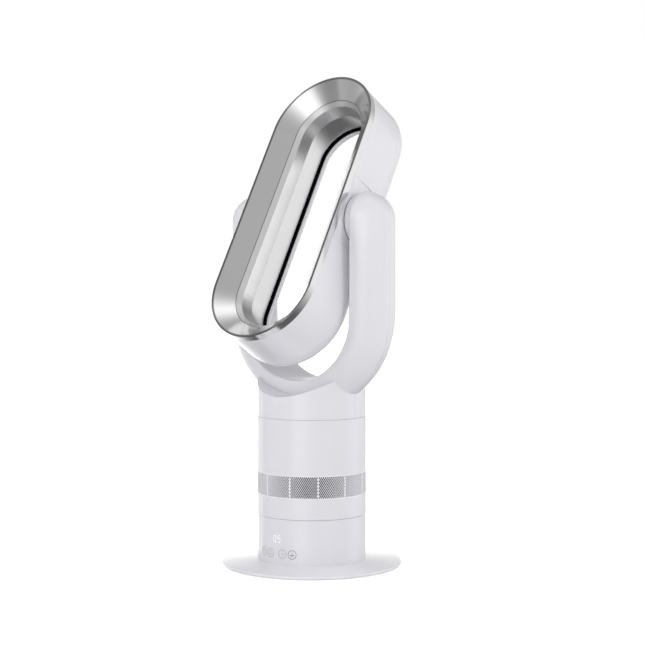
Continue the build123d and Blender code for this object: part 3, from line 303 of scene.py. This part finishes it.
def finishes(settings):
    """All finishes by the name of their slot."""
    shell = tuple(settings.shell_colour)
    rough = settings.shell_roughness
    mark = tuple(settings.mark_colour)
    return {
        "white_shell": surface("moulded gloss white", shell, rough, coat=0.5, spread=0.004,
                               rough_spread=0.02, depth=0.0, grain=600),
        # the disc takes the shell's white made lighter: painted light on the disc
        "disc_gloss_painted_light": surface("gloss white disc", shade(shell, 1.08), 0.1, coat=0.5, spread=0.004,
                              rough_spread=0.02, depth=0.0, grain=600),
        "grille_white": surface("intake white", shade(shell, 1.1), 0.35, spread=0.01),
        "bezel_metal": metal_with_painted_rim(settings),
        "liner_silver": surface("silver liner", tuple(settings.silver_colour), 0.32, metallic=1.0,
                                grain=5000, depth=0.0, spread=0.006),
        "black_plastic": surface("slot black", (0.006, 0.006, 0.007), 0.5, spread=0.1),
        "inner_plastic": surface("inner grey plastic", (0.10, 0.105, 0.11), 0.45, spread=0.06),
        "steel": surface("bright steel", (0.56, 0.57, 0.58), 0.3, metallic=1.0, spread=0.05),
        "rubber": surface("rubber", (0.02, 0.02, 0.021), 0.8, depth=0.00001, spread=0.1),
        "circuit_board": surface("solder mask", (0.01, 0.12, 0.05), 0.35, grain=2500, spread=0.15),
        "lit_white": glow("numeral light", (0.95, 0.95, 0.95), 0.12),
        "nylon": surface("nylon", (0.72, 0.70, 0.62), 0.45, spread=0.03),
        "filter_mesh": surface("filter gauze", (0.03, 0.03, 0.033), 0.9, grain=3000, depth=0.00004,
                               spread=0.2),
        "felt": surface("felt", (0.16, 0.16, 0.17), 0.95, grain=2200, depth=0.00006, spread=0.15,
                        sheen=0.3),
        "mark_grey": surface("touch mark print", mark, 0.4, spread=0.05, grain=3000, depth=0.0),
        "mark_dark": surface("active mark print", shade(mark, 0.55), 0.4, spread=0.05, grain=3000, depth=0.0),
    }


FINISHES = {}


# ---------------------------------------------------------------- meshes
def new_piece(name, points, faces, finish):
    """Mesh object with its place in its mesh, finished and linked to the scene."""
    mesh = bpy.data.meshes.new(name)
    mesh.from_pydata(points, [], faces)
    mesh.validate()
    piece = bpy.data.objects.new(name, mesh)
    bpy.context.scene.collection.objects.link(piece)
    mesh.materials.append(FINISHES[finish])
    return piece


class Patch:
    """Flat faces gathered one after the other: two-dimensional points, and the faces on them."""

    def __init__(self):
        self.points, self.faces, self.total = [], [], 0

    def add_grid(self, points, faces):
        """Points, and faces that count from the first of them."""
        self.points.append(points)
        self.faces += [list(face) for face in faces + self.total]
        self.total += len(points)

    def add_face(self, *corners):
        """One face with its own corners."""
        self.add_grid(np.array(corners, float), np.arange(len(corners))[None])


def wrap(across, up, radius):
    """Points on an upright cylinder: arc length from the front becomes an angle, height stays."""
    turn = across / radius
    return np.stack([radius * np.sin(turn), -radius * np.cos(turn), up], axis=-1)


def thicken(piece, thickness):
    """Wall of real thickness, inwards from the surface."""
    wall = piece.modifiers.new("wall", "SOLIDIFY")
    wall.thickness = thickness
    wall.offset = -1.0
    wall.use_even_offset = False


def weld(piece, distance):
    """Joins points that lie together, so that the surface is one, and turns its faces one way."""
    work = bmesh.new()
    work.from_mesh(piece.data)
    bmesh.ops.remove_doubles(work, verts=work.verts, dist=distance)
    bmesh.ops.recalc_face_normals(work, faces=work.faces)
    work.to_mesh(piece.data)
    work.free()


def column_radius(node):
    """Outer radius of a round node of the column, from its box."""
    low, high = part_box(node)
    return (high[0] - low[0]) / 2


# ---------------------------------------------------------------- operators
class FAN_OT_finishes(bpy.types.Operator):
    """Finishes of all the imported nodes."""

    bl_idname = "fan.finishes"
    bl_label = "Finishes"

    def execute(self, context):
        FINISHES.update(finishes(context.scene.fan_finishes))
        for row in frame["record"]["subparts"]:
            node = frame["nodes"][row["node"]]
            node.data.materials.clear()
            finish = "disc_gloss_painted_light" if row["node"] == "base_disc" else row["material_slot"]
            node.data.materials.append(FINISHES[finish])
        return {"FINISHED"}


def add_diamonds(patch, across, up, opening):
    """Diamonds of the mesh, in half pitches: each lattice point where i + j is even is a hole's middle.

    A ring of faces runs round the diamond's four corners and the middles of its edges. Its inner side is the
    same eight points drawn in by the opening, with the edge middles pushed out a little to round the hole.
    """
    i, j = np.meshgrid(np.arange(1, across), np.arange(1, up), indexing="ij")
    cells = np.stack([i, j], -1).reshape(-1, 2)
    cells = cells[(cells.sum(1) % 2) == 0]
    corner = np.array([(1, 0), (0.5, 0.5), (0, 1), (-0.5, 0.5), (-1, 0), (-0.5, -0.5), (0, -1), (0.5, -0.5)])
    size = np.where(np.arange(8) % 2, HOLE_ROUNDING, 1.0)[:, None] * opening
    outer = (cells[:, None, :] + corner).reshape(-1, 2)
    hole = (cells[:, None, :] + corner * size).reshape(-1, 2)
    ring = np.arange(8)
    quad = np.stack([ring, np.roll(ring, -1), np.roll(ring, -1) + len(outer), ring + len(outer)], -1)
    quads = (8 * np.arange(len(cells))[:, None, None] + quad).reshape(-1, 4)
    patch.add_grid(np.concatenate([outer, hole]), quads)


def add_border(patch, across, up):
    """Half diamonds that square off a panel's edges, with the diamonds' edge middles as extra points."""
    for k in range(2, across, 2):
        patch.add_face((k - 1, 0), (k + 1, 0), (k + 0.5, 0.5), (k, 1), (k - 0.5, 0.5))
        patch.add_face((k + 1, up), (k - 1, up), (k - 0.5, up - 0.5), (k, up - 1), (k + 0.5, up - 0.5))
    for k in range(2, up, 2):
        patch.add_face((0, k + 1), (0, k - 1), (0.5, k - 0.5), (1, k), (0.5, k + 0.5))
        patch.add_face((across, k - 1), (across, k + 1), (across - 0.5, k + 0.5), (across - 1, k),
                       (across - 0.5, k - 0.5))
    for x, y, sx, sy in ((0, 0, 1, 1), (across, 0, -1, 1), (across, up, -1, -1), (0, up, 1, -1)):
        turned = [(x, y), (x + sx, y), (x + sx / 2, y + sy / 2), (x, y + sy)]
        patch.add_face(*(turned if sx * sy > 0 else turned[::-1]))


def add_plain_strips(patch, across, up, rib, margin):
    """The rib beside the panel, and the band's plain margins above and below."""
    levels = [0, *range(1, up, 2), up]
    for low, high in zip(levels[:-1], levels[1:]):
        patch.add_face((across, low), (across + rib, low), (across + rib, high), (across, high))
    stops = [0, *range(1, across, 2), across, across + rib]
    for left, right in zip(stops[:-1], stops[1:]):
        patch.add_face((left, -margin), (right, -margin), (right, 0), (left, 0))
        patch.add_face((left, up), (right, up), (right, up + margin), (left, up + margin))


class FAN_OT_intake_band(bpy.types.Operator):
    """Band of diamond mesh: each panel is a staggered lattice of diamonds, each with an oval hole."""

    bl_idname = "fan.intake_band"
    bl_label = "Intake band"

    def execute(self, context):
        band = context.scene.fan_intake
        low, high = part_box("intake_grille")
        radius = column_radius("intake_grille")
        across, up = 2 * band.columns, 2 * band.rows
        panel_arc = 2 * np.pi * radius / band.panels
        half_pitch = np.array([(panel_arc - band.rib) / across, (high[2] - low[2] - 2 * BAND_MARGIN) / up])
        patch = Patch()
        add_diamonds(patch, across, up, band.opening)
        add_border(patch, across, up)
        add_plain_strips(patch, across, up, band.rib / half_pitch[0], BAND_MARGIN / half_pitch[1])
        flat = np.concatenate(patch.points) * half_pitch
        points, faces = [], []
        for panel in range(band.panels):
            # ribs stand half a panel off the front
            start = (panel - 0.5) * panel_arc + band.rib / 2
            points.append(wrap(start + flat[:, 0], low[2] + BAND_MARGIN + flat[:, 1], radius))
            faces += [[corner + panel * len(flat) for corner in face] for face in patch.faces]
        piece = new_piece("intake_mesh", np.concatenate(points), faces, "grille_white")
        weld(piece, WELD_DISTANCE)
        thicken(piece, band.wall)
        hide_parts("intake_grille")
        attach(piece, "turret")
        return {"FINISHED"}


def ribbon(path, width, closed=False):
    """Strip of even width along a flat path: each point moves to both sides, square to the path."""
    path = np.asarray(path, float)
    if closed:
        ahead, behind = np.roll(path, -1, 0), np.roll(path, 1, 0)
    else:
        ahead, behind = np.vstack([path[1:], path[-1:]]), np.vstack([path[:1], path[:-1]])
    along = ahead - behind
    along /= np.linalg.norm(along, axis=1)[:, None]
    side = np.stack([-along[:, 1], along[:, 0]], -1) * width / 2
    count = len(path)
    points = np.concatenate([path + side, path - side])
    k = np.arange(count if closed else count - 1)
    after = (k + 1) % count
    return points, np.stack([k + count, after + count, after, k], -1)


def arc(centre, size, start, end, count=14):
    """Points along an ellipse's arc, angles in degrees."""
    turn = np.radians(np.linspace(start, end, count))
    return np.asarray(centre) + np.stack([size[0] * np.cos(turn), size[1] * np.sin(turn)], -1)


class FAN_OT_touch_marks(bpy.types.Operator):
    """Printed rings and plain signs of the touch controls, wrapped round the housing."""

    bl_idname = "fan.touch_marks"
    bl_label = "Touch marks"

    # angle round the column in degrees; strokes in mm from the ring's middle; finish
    SIGNS = (
        (-21.8, "mark_grey", (arc((-1.3, 0), (1.1, 2.0), 70, 290), arc((1.3, 0), (1.1, 2.0), 110, -110))),
        (-9.6, "mark_grey", (arc((0, 0.9), (1.9, 0.9), 160, 20), arc((0, -0.6), (1.9, 0.9), 200, 340))),
        (6.2, "mark_grey", (arc((0, -1.3), (1.9, 2.0), 165, 15), [(1.0, 0.3), (1.9, -0.9), (0.4, -1.2)])),
        (17.6, "mark_dark", (arc((0, 0.5), (2.6, 1.8), 205, 335), arc((0, 0.2), (1.9, 0.9), 200, 340),
                             [(-0.3, -0.2), (0.2, 1.7), (0.7, 1.9)])),
    )

    def execute(self, context):
        radius = column_radius("control_housing")
        ring = arc((0, 0), (MARK_RING, MARK_RING), 0, 360, 49)[:-1]
        for number, (angle, finish, strokes) in enumerate(self.SIGNS, 1):
            patch = Patch()
            patch.add_grid(*ribbon(ring, MARK_STROKE, closed=True))
            for stroke in strokes:
                patch.add_grid(*ribbon(stroke, MARK_STROKE))
            flat = np.concatenate(patch.points) * MM + (np.radians(angle) * radius, MARKS_HEIGHT)
            points = wrap(flat[:, 0], flat[:, 1], radius + PRINT_PROUD)
            piece = new_piece(f"touch_mark_{number}", points, patch.faces, finish)
            thicken(piece, PRINT_THICKNESS)
            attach(piece, "base")
        return {"FINISHED"}


# ---------------------------------------------------------------- studio
def direction(azimuth, elevation):
    """Unit vector at an azimuth from the front and an elevation, both in degrees."""
    turn, rise = np.radians(azimuth), np.radians(elevation)
    return np.array((np.cos(rise) * np.sin(turn), -np.cos(rise) * np.cos(turn), np.sin(rise)))


# soft lamps round the fan, all aimed at its middle: azimuth from the front, elevation, watts
LAMP_AIM = np.array((0.0, 0.0, 0.3))
LAMP_DISTANCE = 2.6
LAMP_SIDE = 1.4
LAMPS = (
    ("left front lamp", -45, 18, 25),
    ("left high lamp", -100, 35, 5),
    ("camera lamp", 35, 16, 24),
    ("right lamp", 90, 15, 15),
    ("right back lamp", 140, 12, 13),
    ("top lamp", 30, 80, 10),
    ("back lamp", 180, 35, 9),
)


def area_lamp(name, azimuth, elevation, watts):
    """Square soft lamp round the fan, aimed at its middle. Matt surfaces show it, and gloss the world."""
    lamp = bpy.data.lights.new(name, "AREA")
    lamp.size = LAMP_SIDE
    lamp.energy = watts
    holder = bpy.data.objects.new(name, lamp)
    towards = direction(azimuth, elevation)
    holder.location = LAMP_AIM + LAMP_DISTANCE * towards
    holder.rotation_euler = Vector(-towards).to_track_quat("-Z", "Y").to_euler()
    holder.visible_glossy = False
    bpy.context.scene.collection.objects.link(holder)


# glow added to the floor for the camera alone, and the distances from the fan between which it grows
FLOOR_GLOW = (0.45, 1.5)
GLOW_REACH = (0.4, 0.7)
FLOOR_SIDE = 12.0  # metres


def floor_material():
    """Pale floor that keeps the fan's shadow and that the camera sees as white.

    Gloss and glass look through it to the studio, which is in the world.
    """
    made, tree, shader, where = start_material("pale floor")
    drift = add_noise(tree, where, 2.0)
    tree.links.new(add_ramp(tree, drift, (0.84, 0.84, 0.84), (0.85, 0.85, 0.85)),
                   shader.inputs["Base Color"])
    shader.inputs["Roughness"].default_value = 0.9
    shader.inputs["Specular IOR Level"].default_value = 0.0
    path = tree.nodes.new("ShaderNodeLightPath")
    reach = tree.nodes.new("ShaderNodeVectorMath")
    reach.operation = "LENGTH"
    tree.links.new(where, reach.inputs[0])
    glow_there = add_range(tree, reach.outputs["Value"], *FLOOR_GLOW, *GLOW_REACH)
    lift = tree.nodes.new("ShaderNodeEmission")
    tree.links.new(maths(tree, "MULTIPLY", path.outputs["Is Camera Ray"], glow_there),
                   lift.inputs["Strength"])
    both = tree.nodes.new("ShaderNodeAddShader")
    tree.links.new(shader.outputs["BSDF"], both.inputs[0])
    tree.links.new(lift.outputs["Emission"], both.inputs[1])
    clear = tree.nodes.new("ShaderNodeBsdfTransparent")
    seen = tree.nodes.new("ShaderNodeMixShader")
    gloss = maths(tree, "MAXIMUM", path.outputs["Is Glossy Ray"], path.outputs["Is Transmission Ray"])
    tree.links.new(gloss, seen.inputs["Fac"])
    tree.links.new(both.outputs["Shader"], seen.inputs[1])
    tree.links.new(clear.outputs["BSDF"], seen.inputs[2])
    tree.links.new(seen.outputs["Shader"], tree.nodes["Material Output"].inputs["Surface"])
    return made


# what gloss sees of the white studio: soft boxes (above 0) and dark flags (below 0), each with its azimuth
# from the front, elevation, tightness and strength
STUDIO_WHITE = 0.48
STUDIO_DARKEST = 0.14
SOFT_BOXES = (
    (15, 10, 18, 1.3),  # front box, beside the camera
    (18, -24, 18, 0.8),  # the table in front of it
    (-43, -30, 30, 0.3),  # the table on the left
    (61, 17, 40, 0.45),  # small front box on the right
    (-137, -6, 24, 2.7),  # back box on the left
    (-116, -30, 30, 0.7),  # the table below it
    (-98, -9, 40, 0.9),  # side box on the left
    (147, 0, 18, 0.7),  # back box on the right
    (180, 0, 18, 0.6),  # white wall behind
    (85, 30, 18, 0.35),  # side box on the right
    (115, 80, 18, 0.9),  # high box
    (163, 45, 12, -0.4),  # flag over the back
    (-23, 50, 18, -0.8),  # flag over the front
    (23, -50, 18, -0.6),  # flag under the front
)
# upright dark gaps between the front light and the side walls: azimuth of both edges, depth
DARK_GAPS = ((-38, 0, 0.2), (83, 118, 0.45))
GAP_EDGE = 3.0  # degrees to either side of an edge
# heights, as a direction's z, over which the gaps begin and end, and the ground turns lighter
GAP_STARTS = (-0.35, -0.2)
GAP_ENDS = (0.08, 0.14)
GROUND_ENDS = (-0.7, -0.35)
GROUND_DARK = 0.34  # how much darker the studio is well below the horizon


def add_box(tree, where, azimuth, elevation, tightness, strength):
    """Brightness of one box in a direction: strength * exp(tightness * (cosine of the angle off it - 1))."""
    towards = tree.nodes.new("ShaderNodeVectorMath")
    towards.operation = "DOT_PRODUCT"
    towards.inputs[1].default_value = direction(azimuth, elevation)
    tree.links.new(where, towards.inputs[0])
    off = maths(tree, "SUBTRACT", towards.outputs["Value"], 1.0)
    fall = maths(tree, "EXPONENT", maths(tree, "MULTIPLY", off, float(tightness)))
    return maths(tree, "MULTIPLY", fall, strength)


def gloss_studio(tree, where):
    """Brightness that gloss sees in a direction: white, with the boxes added and the dark parts taken off.

    A gap is dark between its two azimuths, from just below the horizon to just above it. Further below, the
    ground is dark.
    """
    total = STUDIO_WHITE
    for box in SOFT_BOXES:
        total = maths(tree, "ADD", add_box(tree, where, *box), total)
    axes = tree.nodes.new("ShaderNodeSeparateXYZ")
    tree.links.new(where, axes.inputs["Vector"])
    rise = axes.outputs["Z"]
    back = maths(tree, "MULTIPLY", axes.outputs["Y"], -1.0)
    turn = maths(tree, "DEGREES", maths(tree, "ARCTAN2", axes.outputs["X"], back))
    band = maths(tree, "MULTIPLY", add_range(tree, rise, 0.0, 1.0, *GAP_STARTS),
                 add_range(tree, rise, 1.0, 0.0, *GAP_ENDS))
    for first, last, depth in DARK_GAPS:
        after = add_range(tree, turn, 0.0, depth, first - GAP_EDGE, first + GAP_EDGE)
        before = add_range(tree, turn, 1.0, 0.0, last - GAP_EDGE, last + GAP_EDGE)
        gap = maths(tree, "MULTIPLY", maths(tree, "MULTIPLY", after, before), band)
        total = maths(tree, "SUBTRACT", total, gap)
    ground = add_range(tree, rise, GROUND_DARK, 0.0, *GROUND_ENDS)
    return maths(tree, "MAXIMUM", maths(tree, "SUBTRACT", total, ground), STUDIO_DARKEST)


def world_light(strength):
    """Even grey light for matt surfaces, white for the camera and for glass, and the studio for gloss."""
    world = bpy.data.worlds.new("studio")
    bpy.context.scene.world = world
    world.use_nodes = True
    tree = world.node_tree
    even = tree.nodes["Background"]
    even.inputs["Color"].default_value = (1, 1, 1, 1)
    even.inputs["Strength"].default_value = strength
    where = tree.nodes.new("ShaderNodeTexCoord").outputs["Generated"]
    studio = tree.nodes.new("ShaderNodeBackground")
    tree.links.new(gloss_studio(tree, where), studio.inputs["Strength"])
    white = tree.nodes.new("ShaderNodeBackground")
    white.inputs["Color"].default_value = (1, 1, 1, 1)
    path = tree.nodes.new("ShaderNodeLightPath")
    shown = even.outputs["Background"]
    for ray, source in (("Is Glossy Ray", studio), ("Is Transmission Ray", white), ("Is Camera Ray", white)):
        mix = tree.nodes.new("ShaderNodeMixShader")
        tree.links.new(path.outputs[ray], mix.inputs["Fac"])
        tree.links.new(shown, mix.inputs[1])
        tree.links.new(source.outputs["Background"], mix.inputs[2])
        shown = mix.outputs["Shader"]
    tree.links.new(shown, tree.nodes["World Output"].inputs["Surface"])


# degrees from looking straight down, and degrees by which the camera looks past the column's axis
CAMERA_PITCH = 87.899
CAMERA_PAST_AXIS = 0.404


def lay_floor():
    """Flat square with its surface at z = 0."""
    mesh = bpy.data.meshes.new("floor")
    corners = np.array([(-1, -1, 0), (1, -1, 0), (1, 1, 0), (-1, 1, 0)]) * FLOOR_SIDE / 2
    mesh.from_pydata(corners, [], [(0, 1, 2, 3)])
    mesh.materials.append(floor_material())
    floor = bpy.data.objects.new("floor", mesh)
    bpy.context.scene.collection.objects.link(floor)


def place_camera(studio):
    """Camera at the photograph's angle."""
    lens = bpy.data.cameras.new("camera")
    lens.lens = studio.camera_lens
    lens.sensor_width = 36.0
    lens.clip_end = 30.0
    camera = bpy.data.objects.new("camera", lens)
    camera.location = studio.camera_distance * direction(studio.camera_azimuth, 0.0)
    camera.location.z = studio.camera_height
    camera.rotation_euler = np.radians((CAMERA_PITCH, 0.0, studio.camera_azimuth - CAMERA_PAST_AXIS))
    bpy.context.scene.collection.objects.link(camera)
    bpy.context.scene.camera = camera


class FAN_OT_stage(bpy.types.Operator):
    """Floor, camera, world and lamps."""

    bl_idname = "fan.stage"
    bl_label = "Studio"

    def execute(self, context):
        studio = context.scene.fan_studio
        lay_floor()
        place_camera(studio)
        world_light(studio.even_light)
        for name, azimuth, elevation, watts in LAMPS:
            area_lamp(name, azimuth, elevation, watts * studio.lamp_strength)
        context.scene.view_settings.view_transform = "Standard"
        return {"FINISHED"}


class FAN_PT_panel(bpy.types.Panel):
    """Sidebar panel that lists the steps and settings."""

    bl_idname = "FAN_PT_panel"
    bl_label = "Bladeless fan"
    bl_space_type = "VIEW_3D"
    bl_region_type = "UI"
    bl_category = "Fan"

    def draw(self, context):
        layout = self.layout
        for group in (context.scene.fan_finishes, context.scene.fan_intake, context.scene.fan_studio):
            for name in group.__annotations__:
                layout.prop(group, name)
        for operator in OPERATORS:
            layout.operator(operator.bl_idname)


OPERATORS = (FAN_OT_finishes, FAN_OT_intake_band, FAN_OT_touch_marks, FAN_OT_stage)
CLASSES = (FanFinishes, FanIntake, FanStudio, *OPERATORS, FAN_PT_panel)


def register():
    for each in CLASSES:
        bpy.utils.register_class(each)
    bpy.types.Scene.fan_finishes = PointerProperty(type=FanFinishes)
    bpy.types.Scene.fan_intake = PointerProperty(type=FanIntake)
    bpy.types.Scene.fan_studio = PointerProperty(type=FanStudio)


def unregister():
    del bpy.types.Scene.fan_studio
    del bpy.types.Scene.fan_intake
    del bpy.types.Scene.fan_finishes
    for each in reversed(CLASSES):
        bpy.utils.unregister_class(each)


def main():
    register()
    for operator in OPERATORS:
        section, name = operator.bl_idname.split(".")
        getattr(getattr(bpy.ops, section), name)()


if __name__ == "__main__":
    main()
